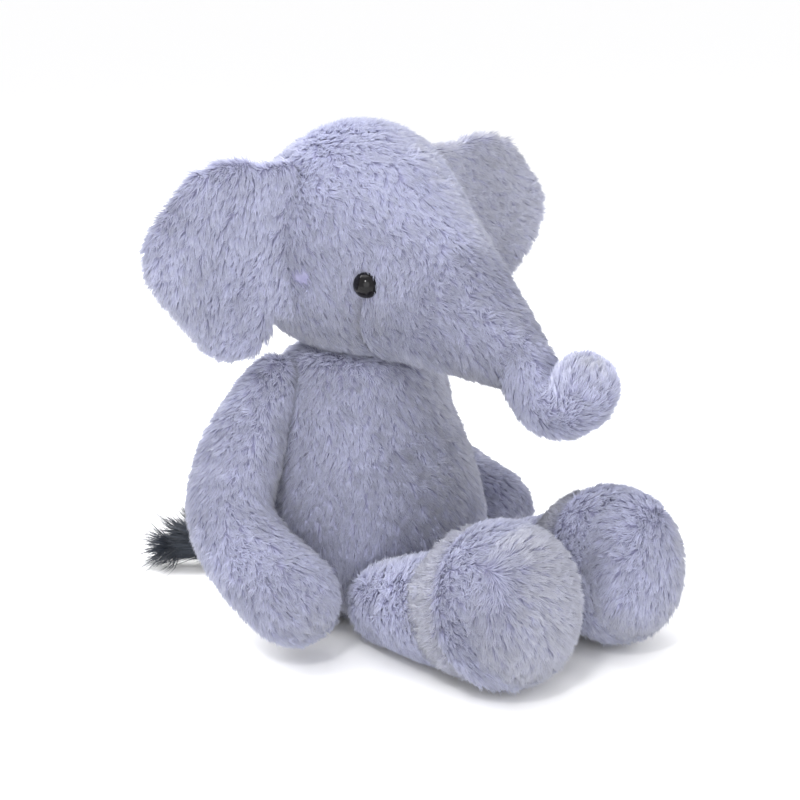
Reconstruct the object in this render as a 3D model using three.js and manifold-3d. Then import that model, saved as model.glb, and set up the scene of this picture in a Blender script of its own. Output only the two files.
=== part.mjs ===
// A sitting stuffed elephant: sewn fur covers around fibre fillings, with safety eyes and a hair tail.
// Millimetres, +Z up. The toy faces -Y and its right side is at -X. The origin is the middle of the
// flat seat, on the surface that the toy sits on.
import * as THREE from 'three';
import { mergeVertices } from 'three/addons/utils/BufferGeometryUtils.js';
import Module from 'manifold-3d';

// ---- driving dimensions ----

const furWall = 6;            // backing cloth and pile together
const layerGap = 0.6;         // between a cover and what fills it
const jointGap = 1.8;         // between a ball-shaped limb root and the hollow that it turns in
const sides = 14;             // flats around each turned form

const torsoHeight = 147.5;
const torsoRadius = 76;       // at its widest, low down
const seatRadius = torsoRadius - 26;    // the flat that the toy sits on
const neckRadius = 32;
const neckY = 5;              // the neck stands a little behind the middle of the seat
const torsoDepthRatio = 0.94; // front to back against side to side
const pouchRadius = seatRadius;
const pouchTop = 26;
const neckPlugRadius = neckRadius - furWall - 2;
const neckPlugDepth = 22;
const threadRadius = 0.9;

const skullRadius = 66;
const headNeckGap = 7.5;
const skullHeight = torsoHeight + headNeckGap + skullRadius;  // its centre above the seat
const headTilt = THREE.MathUtils.degToRad(23);
const trunkRoot = skullRadius + 16;   // along the head's axis, from the skull's centre to where the trunk turns
const trunkLength = 61;       // from there to where its tip turns
const trunkEndRadius = 18;
const trunkMouth = 40;        // half angle of the opening in its ball-shaped root, in degrees
const tipRadius = trunkEndRadius - 0.5;     // where it turns
const tipEndRadius = trunkEndRadius + 1.5;  // of its curled end
const tipDroop = 11;          // how far it hangs below the trunk's axis before it curls up
const tipReach = 42;          // how far it goes on along that axis
const tipLength = 76;

const eyeRadius = 7.5;
const eyeAlong = trunkRoot - 24;      // along the head's axis
const eyeAround = THREE.MathUtils.degToRad(83);  // from the top of the head down to each side
const domeDepth = 5;
const domeSink = 3;           // how far the dome's rim sits inside the pile
const stemRadius = 2;
const stemLength = 12;
const washerRadius = 7.5;
const washerThickness = 1.6;
const washerSink = furWall + 1.2;
const stemGap = 0.35;         // between the stem and the washer's hole
const pocketGap = 0.5;        // between the eye and what it passes through

const earWidth = skullRadius + 40;
const earHeight = 2 * skullRadius - 12;
const earThickness = 14;
const earBevel = 2.4;
const earY = 2;
const earRootHeight = skullHeight + 9;    // the middle of its seam
const earHeadGap = 3.5;
const earSeamX = skullRadius - 15;

const armRootRadius = 21.5;
const armRadius = 26;
const armLength = 178;        // from the shoulder's turning point to the end of the paw
const pawRadius = armRadius + 2.5;
const shoulder = [neckRadius + 31, 18, torsoHeight - 11.5];
// The middle line of each arm from its shoulder, as [outward, back, up]. The right arm hangs and the
// left one is swung back, with its forearm along the ground.
const armLines = {
  right: [
    [0, 0, 0],
    [armRadius - 8, -4, -14],
    [armRadius + 8, -9, -37],
    [armRadius + 15, -15, -58],
    [armRadius + 19, -29, -80],
    [armRadius + 18, -62, -102],
    [armRadius + 15, -98, -112],
  ],
  left: [
    [0, 0, 0],
    [armRadius + 2, 20, -22],
    [armRadius + 13, 32, -56],
    [armRadius + 19, 18, -84],
    [armRadius + 24, -16, -105],
    [armRadius + 20, -62, -111],
  ],
};

const footRadius = torsoRadius - 30;
const ankleRadius = footRadius - 11;
const legRadius = ankleRadius * 0.6;
const hip = [torsoRadius - 28, 9 - torsoRadius, legRadius + 2];
const legLength = 65;
const ankleHeight = ankleRadius + 1.5;
const legSplay = { right: THREE.MathUtils.degToRad(3), left: THREE.MathUtils.degToRad(-5) };
const footLength = 66;
const footRise = 5.5;         // the foot's middle above its ankle
const footWidthRatio = 0.94;
const soleRadius = footRadius - 15;
const soleThickness = 5;

const tailRootY = torsoRadius - 3;
const tailRadius = 13;
const tailHeight = tailRadius + 4;
const tailLength = 98;
const tailAngle = THREE.MathUtils.degToRad(48);
const tailStubRadius = 6;
const tailStubLength = 12;

// ---- colours ----

const furColour = 0xaeb0cc;
const fillingColour = 0xf2f2ee;
const blackColour = 0x0a0a0c;
const hairColour = 0x2f3440;
const threadColour = 0x9a9cb8;
const pouchColour = 0xd8d4c8;

// ---- solids ----

const wasm = await Module();
wasm.setup();

function bareSurface(geometry) {
  const bare = geometry.clone();
  bare.deleteAttribute('normal');
  bare.deleteAttribute('uv');
  const merged = mergeVertices(bare, 1e-4);
  const kept = [];
  const index = merged.index.array;
  for (let i = 0; i < index.length; i += 3) {
    const [a, b, c] = [index[i], index[i + 1], index[i + 2]];
    if (a !== b && b !== c && c !== a) kept.push(a, b, c);
  }
  merged.setIndex(kept);
  return merged;
}

function outward(geometry) {
  const surface = bareSurface(geometry);
  const p = surface.attributes.position;
  const index = surface.index.array;
  const [a, b, c] = [new THREE.Vector3(), new THREE.Vector3(), new THREE.Vector3()];
  let volume = 0;
  for (let i = 0; i < index.length; i += 3) {
    a.fromBufferAttribute(p, index[i]);
    b.fromBufferAttribute(p, index[i + 1]);
    c.fromBufferAttribute(p, index[i + 2]);
    volume += a.dot(b.cross(c));
  }
  if (volume < 0) {
    for (let i = 0; i < index.length; i += 3) {
      [index[i], index[i + 1]] = [index[i + 1], index[i]];
    }
  }
  return surface;
}

function solid(geometry) {
  const surface = outward(geometry);
  return new wasm.Manifold(new wasm.Mesh({
    numProp: 3,
    vertProperties: new Float32Array(surface.attributes.position.array),
    triVerts: new Uint32Array(surface.index.array),
  }));
}

function cut(geometry, ...tools) {
  let left = solid(geometry);
  for (const tool of tools) left = left.subtract(solid(tool));
  const mesh = left.getMesh();
  const result = new THREE.BufferGeometry();
  result.setAttribute('position', new THREE.BufferAttribute(new Float32Array(mesh.vertProperties), 3));
  result.setIndex(new THREE.BufferAttribute(new Uint32Array(mesh.triVerts), 1));
  return result;
}

// A turned form's outline, from its root to its tip, as points [along the axis, radius].
// The inset moves the whole outline inward.
function outline(points, samples, inset = 0) {
  const curve = new THREE.CatmullRomCurve3(points.map(([s, r]) => new THREE.Vector3(r, s, 0)), false,
    'centripetal');
  const list = [];
  for (let i = 0; i <= samples; i++) {
    const p = curve.getPointAt(i / samples);
    const t = curve.getTangentAt(i / samples);
    list.push(new THREE.Vector2(Math.max(p.x - inset * t.y, 0), p.y + inset * t.x));
  }
  if (points[0][1] === 0) list[0].x = 0;
  if (points.at(-1)[1] === 0) list[samples].x = 0;
  return list;
}

// A sewn cover of even wall. It is open where its outline ends away from the axis.
function cover(points, samples) {
  const outer = outline(points, samples);
  const inner = outline(points, samples, furWall).reverse();
  if (points[0][1] === 0) return outward(new THREE.LatheGeometry([...outer, ...inner], sides));
  if (points.at(-1)[1] === 0) return outward(new THREE.LatheGeometry([...inner, ...outer], sides));
  return outward(new THREE.LatheGeometry([...outer, ...inner, outer[0]], sides));
}

// What fills a cover: the same outline inside the wall, closed flat where the cover is open.
function filling(points, samples) {
  const list = outline(points, samples, furWall + layerGap);
  if (list[0].x > 0) list.unshift(new THREE.Vector2(0, list[0].y));
  if (list.at(-1).x > 0) list.push(new THREE.Vector2(0, list.at(-1).y));
  return outward(new THREE.LatheGeometry(list, sides));
}

function ball(radius, x, y, z) {
  const geometry = new THREE.SphereGeometry(radius, 16, 10);
  geometry.translate(x, y, z);
  return geometry;
}

// A ball-shaped root: its outline up to the turning point at 0, open round its pole.
function ballRoot(radius, mouthDegrees = 32) {
  const list = [];
  for (const degrees of [mouthDegrees, 50, 70, 90]) {
    const angle = THREE.MathUtils.degToRad(degrees);
    list.push([-radius * Math.cos(angle), radius * Math.sin(angle)]);
  }
  return list;
}

// Lays a form that was turned about +Y along a curve, so that distance up the axis is distance along it.
function layAlong(geometry, curve) {
  const steps = 60;
  const length = curve.getLength();
  const frames = curve.computeFrenetFrames(steps);
  const p = geometry.attributes.position;
  for (let i = 0; i < p.count; i++) {
    const s = p.getY(i);
    const within = THREE.MathUtils.clamp(s / length, 0, 1);
    const low = Math.min(Math.floor(within * steps), steps - 1);
    const part = within * steps - low;
    const across = frames.normals[low].clone().lerp(frames.normals[low + 1], part);
    const up = frames.binormals[low].clone().lerp(frames.binormals[low + 1], part);
    const place = curve.getPointAt(within);
    place.addScaledVector(curve.getTangentAt(within), s - within * length);
    place.addScaledVector(across, p.getX(i));
    place.addScaledVector(up, p.getZ(i));
    p.setXYZ(i, place.x, place.y, place.z);
  }
  return outward(geometry);
}

function piece(name, geometry, colour, roughness = 1) {
  const mesh = new THREE.Mesh(geometry, new THREE.MeshStandardMaterial({ color: colour, roughness }));
  mesh.name = name;
  return mesh;
}

const sideNames = { '-1': 'right', '1': 'left' };
const toy = new THREE.Group();

// ---- torso: a pear-shaped cover with a flat seat, open at the neck ----

const torsoOutline = [
  [torsoHeight, neckRadius],
  [torsoHeight - 6, neckRadius + 10],
  [torsoHeight * 0.8, torsoRadius * 0.71],
  [torsoHeight * 0.55, torsoRadius * 0.91],
  [torsoHeight * 0.28, torsoRadius],
  [torsoHeight * 0.1, torsoRadius * 0.92],
];
const torsoSamples = 12;
const shoulderBall = armRootRadius + jointGap;
const hipBall = legRadius + jointGap;

function torsoLathe(inset, top) {
  const side = outline(torsoOutline.toReversed(), torsoSamples, inset);
  const bottom = new THREE.Vector2(Math.min(seatRadius, seatRadius + 6 - inset), inset);
  return [bottom, ...side.filter((p) => p.y < top && p.y > inset + 1)];
}

function standOnNeck(geometry) {
  const p = geometry.attributes.position;
  for (let i = 0; i < p.count; i++) {
    const lean = neckY * THREE.MathUtils.smoothstep(p.getZ(i), 0, torsoHeight);
    p.setY(i, p.getY(i) * torsoDepthRatio + lean);
  }
  return geometry;
}

function upright(profile) {
  const geometry = new THREE.LatheGeometry(profile, sides + 4);
  geometry.rotateX(Math.PI / 2);
  return standOnNeck(outward(geometry));
}

const torsoOuter = torsoLathe(0, torsoHeight + 1);
const torsoInner = torsoLathe(furWall, torsoHeight + 1);
const torsoShell = upright([
  new THREE.Vector2(0, 0),
  ...torsoOuter,
  ...torsoInner.toReversed(),
  new THREE.Vector2(0, furWall),
]);
const torsoTools = [];
for (const side of [-1, 1]) {
  torsoTools.push(ball(shoulderBall, side * shoulder[0], shoulder[1], shoulder[2]));
  torsoTools.push(ball(hipBall, side * hip[0], hip[1], hip[2]));
}
torsoTools.push(ball(tailStubRadius + jointGap, 0, tailRootY, tailHeight));
toy.add(piece('torso_cover', cut(torsoShell, ...torsoTools), furColour));

const pouchFloor = furWall + layerGap;
const pouch = upright([
  new THREE.Vector2(0, pouchFloor),
  new THREE.Vector2(pouchRadius - 6, pouchFloor),
  new THREE.Vector2(pouchRadius, pouchFloor + 6),
  new THREE.Vector2(pouchRadius + 4, pouchTop - 6),
  new THREE.Vector2(pouchRadius - 8, pouchTop),
  new THREE.Vector2(0, pouchTop),
]);
toy.add(piece('pellet_pouch', cut(pouch, ...torsoTools), pouchColour));

const fillInset = furWall + layerGap;
const fillTop = torsoHeight - 3;
const fillSide = torsoLathe(fillInset, fillTop).filter((p) => p.y > pouchTop + 8);
const torsoFill = upright([
  new THREE.Vector2(0, pouchTop + layerGap),
  new THREE.Vector2(pouchRadius + 5, pouchTop + layerGap),
  ...fillSide,
  new THREE.Vector2(0, fillSide.at(-1).y),
]);
const neckTop = torsoHeight + 2.4;
const neckWell = new THREE.CylinderGeometry(neckPlugRadius + 1, neckPlugRadius + 1, 2 * neckPlugDepth, 20);
neckWell.rotateX(Math.PI / 2);
neckWell.translate(0, neckY, torsoHeight - 1);
toy.add(piece('torso_filling', cut(torsoFill, neckWell, ...torsoTools), fillingColour));

// ---- neck: a firm plug of filling, with the ring of stitches that closes the neck around it ----

const neck = new THREE.Group();
neck.position.set(0, neckY, torsoHeight);
const plugHeight = neckPlugDepth - 4;
const plug = new THREE.CylinderGeometry(neckPlugRadius, neckPlugRadius, plugHeight, 20);
plug.rotateX(Math.PI / 2);
plug.translate(0, 0, neckTop - torsoHeight - plugHeight / 2);
neck.add(piece('neck_filling', outward(plug), fillingColour));
const stitchRing = new THREE.TorusGeometry(neckPlugRadius + threadRadius + layerGap, threadRadius, 8, 24);
stitchRing.translate(0, 0, threadRadius + layerGap);
neck.add(piece('neck_stitching', outward(stitchRing), threadColour));
toy.add(neck);

// ---- head: a round skull that runs forward and down into the cone of the trunk ----

const head = new THREE.Group();
head.position.set(0, neckY, skullHeight);
head.rotation.x = Math.PI + headTilt;

const trunkEnd = trunkRoot + trunkLength;
const coneSlope = (skullRadius - trunkEndRadius) / trunkEnd;
const coneTurn = Math.asin(coneSlope);
const coneStart = [skullRadius * Math.sin(coneTurn), skullRadius * Math.cos(coneTurn)];
const coneRadius = (s) => coneStart[1] - Math.tan(coneTurn) * (s - coneStart[0]);
const rootRadius = coneRadius(trunkRoot);

const headRim = trunkRoot - 6;
const headOutline = [];
for (const degrees of [180, 165, 145, 125, 105, 90]) {
  const angle = THREE.MathUtils.degToRad(degrees);
  headOutline.push([skullRadius * Math.cos(angle), skullRadius * Math.sin(angle)]);
}
headOutline[0][1] = 0;
headOutline.push(coneStart, [(coneStart[0] + headRim) / 2, coneRadius((coneStart[0] + headRim) / 2)]);
headOutline.push([headRim, coneRadius(headRim)]);
const headSamples = 13;
const trunkBall = ball(rootRadius + jointGap, 0, trunkRoot, 0);

// Each eye is a dome on a stem through the cover, held by a lock washer inside it.
function eyeTurned(geometry, side) {
  geometry.rotateX(Math.PI / 2 - coneTurn);
  geometry.translate(0, eyeAlong, coneRadius(eyeAlong));
  geometry.rotateY(Math.PI - side * eyeAround);
  return geometry;
}

function eyeDome() {
  const list = [new THREE.Vector2(0, -stemLength), new THREE.Vector2(stemRadius, -stemLength)];
  list.push(new THREE.Vector2(stemRadius, -domeSink), new THREE.Vector2(eyeRadius - 0.8, -domeSink));
  for (const degrees of [10, 30, 50, 70, 90]) {
    const angle = THREE.MathUtils.degToRad(degrees);
    list.push(new THREE.Vector2(eyeRadius * Math.cos(angle), domeDepth * Math.sin(angle) - domeSink + 0.4));
  }
  list.at(-1).x = 0;
  return new THREE.LatheGeometry(list, 20);
}

function eyeWasher() {
  const top = -washerSink;
  const hole = stemRadius + stemGap;
  const list = [[hole, top], [washerRadius, top], [washerRadius, top - washerThickness],
    [hole, top - washerThickness], [hole, top]];
  return new THREE.LatheGeometry(list.map(([r, y]) => new THREE.Vector2(r, y)), 20);
}

function eyePocket() {
  const room = pocketGap;
  const deep = -washerSink - washerThickness - room;
  const list = [
    [0, -stemLength - 1], [stemRadius + room, -stemLength - 1],
    [stemRadius + room, deep], [washerRadius + room, deep],
    [washerRadius + room, -washerSink + room], [stemRadius + room, -washerSink + room],
    [stemRadius + room, -domeSink - room], [eyeRadius + room, -domeSink - room],
    [eyeRadius + room, 12], [0, 12],
  ];
  return new THREE.LatheGeometry(list.map(([r, y]) => new THREE.Vector2(r, y)), 20);
}

const eyePockets = [-1, 1].map((side) => eyeTurned(eyePocket(), side));
head.add(piece('head_cover', cut(cover(headOutline, headSamples), trunkBall, ...eyePockets), furColour));
head.add(piece('head_filling', cut(filling(headOutline, headSamples), trunkBall, ...eyePockets),
  fillingColour));
for (const side of [-1, 1]) {
  head.add(piece(`eye_${sideNames[side]}`, outward(eyeTurned(eyeDome(), side)), blackColour, 0.08));
  head.add(piece(`eye_washer_${sideNames[side]}`, outward(eyeTurned(eyeWasher(), side)), blackColour, 0.5));
}

// ---- trunk: a cone that turns on its ball-shaped root, and the curled tip beyond it ----

const trunk = new THREE.Group();
trunk.position.set(0, trunkRoot, 0);
const tipTurnsAt = trunkLength;
const trunkRim = tipTurnsAt - 9;
const trunkOutline = [
  ...ballRoot(rootRadius, trunkMouth),
  [trunkRim / 2, coneRadius(trunkRoot + trunkRim / 2)],
  [trunkRim, coneRadius(trunkRoot + trunkRim)],
];
const tipBall = ball(tipRadius + jointGap, 0, tipTurnsAt, 0);
trunk.add(piece('trunk_cover', cut(cover(trunkOutline, 10), tipBall), furColour));
trunk.add(piece('trunk_filling', cut(filling(trunkOutline, 10), tipBall), fillingColour));
head.add(trunk);

const tip = new THREE.Group();
tip.position.set(0, tipTurnsAt, 0);
const tipOutline = [
  ...ballRoot(tipRadius),
  [tipLength * 0.3, tipRadius + 1],
  [tipLength * 0.6, tipEndRadius],
  [tipLength * 0.8, tipEndRadius - 2],
  [tipLength * 0.94, tipEndRadius * 0.5],
  [tipLength, 0],
];
// The tip's middle line, as [along the trunk's axis, below it].
const tipLine = [
  [0, 0], [tipReach * 0.25, tipDroop * 0.6], [tipReach * 0.54, tipDroop], [tipReach * 0.8, tipDroop * 0.6],
  [tipReach * 0.96, -tipDroop * 0.3], [tipReach, -tipDroop * 1.4],
];
const tipPath = new THREE.CatmullRomCurve3(tipLine.map(([along, below]) => new THREE.Vector3(0, along, below)));
tip.add(piece('trunk_tip_cover', layAlong(cover(tipOutline, 12), tipPath), furColour));
tip.add(piece('trunk_tip_filling', layAlong(filling(tipOutline, 12), tipPath), fillingColour));
trunk.add(tip);
toy.add(head);

// ---- ears: a front and a back panel, sewn together round their edge ----

// The outline runs from the top of the seam over the top, round the rim and back under to the seam.
// It is drawn for an ear one unit wide and one unit high, with its seam's middle at the origin.
const earEdge = [
  [0.2, 0.34], [0.45, 0.38], [0.71, 0.33], [0.89, 0.18], [1.04, 0.0],
  [0.98, -0.18], [0.83, -0.34], [0.62, -0.51], [0.43, -0.6], [0.26, -0.55], [0.13, -0.4],
];

function earPanel(side, front) {
  const reach = skullRadius + earHeadGap;
  const drop = skullHeight - earRootHeight;
  const rim = new THREE.SplineCurve(earEdge.map(([x, z]) => new THREE.Vector2(
    side * (earSeamX + x * earWidth), z * earHeight)));
  const shape = new THREE.Shape(rim.getPoints(24));
  const seam = [];
  for (const part of [0, 0.2, 0.4, 0.6, 0.8, 1]) {
    const z = THREE.MathUtils.lerp(earEdge.at(-1)[1], earEdge[0][1], part) * earHeight;
    const x = Math.sqrt(Math.max(reach ** 2 - (z - drop) ** 2 - (earY - neckY) ** 2, 0));
    seam.push(new THREE.Vector2(side * x, z));
  }
  for (const p of seam) shape.lineTo(p.x, p.y);
  const thickness = (earThickness - layerGap) / 2;
  const geometry = new THREE.ExtrudeGeometry(shape, {
    depth: thickness - 2 * earBevel, bevelThickness: earBevel, bevelSize: earBevel, bevelOffset: -earBevel,
    bevelSegments: 2, curveSegments: 1,
  });
  geometry.translate(0, 0, earBevel + layerGap / 2);
  geometry.rotateX(Math.PI / 2);
  if (!front) geometry.translate(0, thickness + layerGap, 0);
  return outward(geometry);
}

for (const side of [-1, 1]) {
  const ear = new THREE.Group();
  ear.position.set(0, earY, earRootHeight);
  ear.add(piece(`ear_front_${sideNames[side]}`, earPanel(side, true), furColour));
  ear.add(piece(`ear_back_${sideNames[side]}`, earPanel(side, false), furColour));
  toy.add(ear);
}

// ---- arms: one sewn tube each, bent at the elbow, with a fuller paw ----

const armOutline = [
  ...ballRoot(armRootRadius),
  [armLength * 0.25, armRadius],
  [armLength * 0.5, armRadius],
  [armLength * 0.75, pawRadius],
  [armLength * 0.88, pawRadius - 3],
  [armLength * 0.97, pawRadius * 0.55],
  [armLength, 0],
];
for (const side of [-1, 1]) {
  const arm = new THREE.Group();
  arm.position.set(side * shoulder[0], shoulder[1], shoulder[2]);
  const line = armLines[sideNames[side]];
  const armPath = new THREE.CatmullRomCurve3(line.map(([out, back, up]) => new THREE.Vector3(
    side * out, back, up)));
  arm.add(piece(`arm_cover_${sideNames[side]}`, layAlong(cover(armOutline, 13), armPath), furColour));
  arm.add(piece(`arm_filling_${sideNames[side]}`, layAlong(filling(armOutline, 13), armPath),
    fillingColour));
  toy.add(arm);
}

// ---- legs: a tube that widens to the ankle, and a boot-shaped foot closed by a round sole ----

const legRise = Math.asin((ankleHeight - hip[2]) / legLength);
const ankleRim = legLength - 12;
const widening = (s) => THREE.MathUtils.lerp(legRadius, ankleRadius, s / legLength);
const legOutline = [
  ...ballRoot(legRadius),
  [ankleRim * 0.4, widening(ankleRim * 0.4)],
  [ankleRim * 0.75, widening(ankleRim * 0.75)],
  [ankleRim, widening(ankleRim)],
];
const soleAt = footLength - soleThickness - layerGap;
const footOutline = [
  [-ankleRadius, 0],
  [-ankleRadius * 0.87, ankleRadius * 0.5],
  [-ankleRadius * 0.5, ankleRadius * 0.87],
  [0, ankleRadius + 3],
  [footLength * 0.2, footRadius - 3],
  [footLength * 0.45, footRadius],
  [footLength * 0.75, footRadius - 4],
  [soleAt, soleRadius + furWall],
];
const footPath = new THREE.CatmullRomCurve3([
  [0, 0], [footLength * 0.2, footRise * 0.45], [footLength * 0.45, footRise * 0.9],
  [footLength * 0.7, footRise], [footLength, footRise],
].map(([along, rise]) => new THREE.Vector3(0, along, -rise)));
const soleOutline = [
  [0, 0], [0, soleRadius], [soleThickness * 0.7, soleRadius - 2], [soleThickness, soleRadius * 0.6],
  [soleThickness + 1, 0],
];

function footPiece(geometry) {
  geometry.scale(footWidthRatio, 1, 1);
  return layAlong(geometry, footPath);
}

for (const side of [-1, 1]) {
  const name = sideNames[side];
  const leg = new THREE.Group();
  leg.position.set(side * hip[0], hip[1], hip[2]);
  leg.rotation.set(Math.PI - legRise, 0, side * legSplay[name], 'ZYX');
  const ankle = ball(ankleRadius + jointGap, 0, legLength, 0);
  leg.add(piece(`leg_cover_${name}`, cut(cover(legOutline, 9), ankle), furColour));
  leg.add(piece(`leg_filling_${name}`, cut(filling(legOutline, 8), ankle), fillingColour));
  const foot = new THREE.Group();
  foot.position.set(0, legLength, 0);
  foot.add(piece(`foot_cover_${name}`, footPiece(cover(footOutline, 11)), furColour));
  foot.add(piece(`foot_filling_${name}`, footPiece(filling(footOutline, 11)), fillingColour));
  const sole = new THREE.LatheGeometry(soleOutline.map(([s, r]) => new THREE.Vector2(r, s)), sides);
  sole.translate(0, soleAt + layerGap, 0);
  foot.add(piece(`sole_${name}`, footPiece(outward(sole)), furColour));
  leg.add(foot);
  toy.add(leg);
}

// ---- tail: a sewn stub with a long brush of hair ----

const tail = new THREE.Group();
tail.position.set(0, tailRootY, tailHeight);
tail.rotation.z = tailAngle;
tail.add(piece('tail_stub', outward(new THREE.LatheGeometry([
  new THREE.Vector2(0, -tailStubRadius),
  new THREE.Vector2(tailStubRadius * 0.7, -tailStubRadius * 0.7),
  new THREE.Vector2(tailStubRadius, 0),
  new THREE.Vector2(tailStubRadius, tailStubLength),
  new THREE.Vector2(0, tailStubLength),
], sides)), furColour));
const hairOutline = [
  [tailStubLength + layerGap, 0], [tailStubLength + 1, tailStubRadius], [tailLength * 0.4, tailRadius * 0.9],
  [tailLength * 0.65, tailRadius], [tailLength * 0.88, tailRadius * 0.6], [tailLength, 0],
];
tail.add(piece('tail_hair', outward(new THREE.LatheGeometry(outline(hairOutline, 10), sides)), hairColour));
toy.add(tail);

export default toy;
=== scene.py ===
import math
import bmesh
import bpy
import numpy as np
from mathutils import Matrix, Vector
from mathutils.bvhtree import BVHTree


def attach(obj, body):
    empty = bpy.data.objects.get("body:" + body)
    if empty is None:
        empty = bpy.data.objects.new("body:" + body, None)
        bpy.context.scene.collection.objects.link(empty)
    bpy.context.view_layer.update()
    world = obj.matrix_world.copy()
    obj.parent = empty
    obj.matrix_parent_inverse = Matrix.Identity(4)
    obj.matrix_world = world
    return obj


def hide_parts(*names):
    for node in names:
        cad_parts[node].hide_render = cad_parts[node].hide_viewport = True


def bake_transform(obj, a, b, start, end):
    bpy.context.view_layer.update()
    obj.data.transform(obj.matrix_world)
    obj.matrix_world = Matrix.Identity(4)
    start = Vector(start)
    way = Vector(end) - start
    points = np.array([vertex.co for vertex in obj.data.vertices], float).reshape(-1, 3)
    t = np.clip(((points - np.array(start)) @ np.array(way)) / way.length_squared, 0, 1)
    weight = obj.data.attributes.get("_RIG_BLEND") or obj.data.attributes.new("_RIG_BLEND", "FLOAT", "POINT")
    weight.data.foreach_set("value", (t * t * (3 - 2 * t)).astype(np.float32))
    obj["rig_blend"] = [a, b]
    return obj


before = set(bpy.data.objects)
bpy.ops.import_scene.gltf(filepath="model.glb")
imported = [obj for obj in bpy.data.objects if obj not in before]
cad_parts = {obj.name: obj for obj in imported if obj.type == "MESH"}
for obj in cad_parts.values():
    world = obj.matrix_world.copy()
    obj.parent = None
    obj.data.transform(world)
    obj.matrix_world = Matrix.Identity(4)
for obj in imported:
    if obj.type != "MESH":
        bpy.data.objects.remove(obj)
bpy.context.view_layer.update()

# ---- camera, light and floor ----
# A studio set: a pale table and pale walls all round. Broad soft lights stand above, in front, to the
# right and behind, and a small lamp gives the eyes their spark.

camera_data = bpy.data.cameras.new("camera")
camera_data.sensor_width = 36
camera_data.lens = 82.5
camera = bpy.data.objects.new("camera", camera_data)
camera.location = (-0.73837, -0.76882, 0.38745)
camera.rotation_mode = "QUATERNION"
camera_aim = Vector((0.01634, -0.01411, 0.12134))
camera.rotation_quaternion = (camera_aim - camera.location).to_track_quat("-Z", "Y")
bpy.context.scene.collection.objects.link(camera)
bpy.context.scene.camera = camera


def soft_light(name, place, aim, width, watts):
    lamp = bpy.data.lights.new(name, "AREA")
    lamp.shape = "DISK"
    lamp.size = width
    lamp.energy = watts
    holder = bpy.data.objects.new(name, lamp)
    holder.location = place
    holder.rotation_mode = "QUATERNION"
    holder.rotation_quaternion = (Vector(aim) - Vector(place)).to_track_quat("-Z", "Y")
    bpy.context.scene.collection.objects.link(holder)


soft_light("top_light", (0.0, 0.25, 1.4), (0, 0, 0.12), 1.2, 9)
soft_light("front_light", (-1.15, -1.1, 0.5), (0, -0.03, 0.1), 1.4, 12)
soft_light("side_light", (1.3, -0.6, 0.8), (0, 0, 0.14), 1.0, 5)
soft_light("back_light", (-0.4, 1.0, 1.1), (0, 0, 0.2), 1.0, 18)
soft_light("catch_light", (-0.82, -0.52, 0.97), (-0.05, -0.05, 0.2), 0.2, 5.0)

walls = bpy.data.worlds.new("studio_walls")
walls.use_nodes = True
walls.node_tree.nodes["Background"].inputs["Color"].default_value = (1, 1, 1, 1)
walls.node_tree.nodes["Background"].inputs["Strength"].default_value = 1.03
bpy.context.scene.world = walls
bpy.context.scene.view_settings.view_transform = "Standard"

floor_mesh = bpy.data.meshes.new("floor")
floor_half = 60.0
floor_mesh.from_pydata([(-floor_half, -floor_half, 0), (floor_half, -floor_half, 0),
                        (floor_half, floor_half, 0), (-floor_half, floor_half, 0)], [], [(0, 1, 2, 3)])
floor = bpy.data.objects.new("floor", floor_mesh)
bpy.context.scene.collection.objects.link(floor)
floor_paint = bpy.data.materials.new("floor_paint")
floor_paint.use_nodes = True
floor_shader = floor_paint.node_tree.nodes["Principled BSDF"]
floor_shader.inputs["Base Color"].default_value = (0.96, 0.96, 0.965, 1)
floor_shader.inputs["Roughness"].default_value = 0.9
floor_mesh.materials.append(floor_paint)

# ---- torso ----
# The body: a pear-shaped cover of short dense plush, sewn with the pile outside, turned and filled
# with fibre. It stands flat on its seat, on the pouch of pellets inside it.

mm = 0.001
pile_height = 3.9 * mm           # how far the backing cloth lies inside the outline of the pile
seam_depth = 2.4 * mm
all_covers = []


def smooth_line(points, steps=600):
    """A round-cornered line through points, as close-set points and the length up to each."""
    given = np.array(points, float)
    given = np.vstack([2 * given[0] - given[1], given, 2 * given[-1] - given[-2]])
    spans = len(given) - 3
    runs = []
    for i in range(spans):
        p0, p1, p2, p3 = given[i:i + 4]
        a, b, c = [max(np.linalg.norm(d), 1e-9) ** 0.5 for d in (p1 - p0, p2 - p1, p3 - p2)]
        m1 = ((p1 - p0) / a - (p2 - p0) / (a + b) + (p2 - p1) / b) * b
        m2 = ((p2 - p1) / b - (p3 - p1) / (b + c) + (p3 - p2) / c) * b
        t = np.linspace(0, 1, steps // spans, endpoint=(i == spans - 1))[:, None]
        runs.append(p1 * (2 * t**3 - 3 * t**2 + 1) + m1 * (t**3 - 2 * t**2 + t)
                    + p2 * (3 * t**2 - 2 * t**3) + m2 * (t**3 - t**2))
    line = np.vstack(runs)
    length = np.concatenate([[0], np.cumsum(np.linalg.norm(np.diff(line, axis=0), axis=1))])
    return line, length


def inset_outline(points, inset, count=44):
    """An outline [along, radius] moved inward by inset, as evenly spaced points."""
    line, length = smooth_line(points)
    even = np.linspace(0, length[-1], count)
    at = np.array([[np.interp(s, length, line[:, k]) for k in (0, 1)] for s in even])
    slope = np.gradient(at, axis=0)
    slope /= np.linalg.norm(slope, axis=1)[:, None]
    moved = at + inset * np.column_stack([slope[:, 1], -slope[:, 0]])
    moved[:, 1] = np.maximum(moved[:, 1], 0.05 * mm)
    return moved


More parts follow.
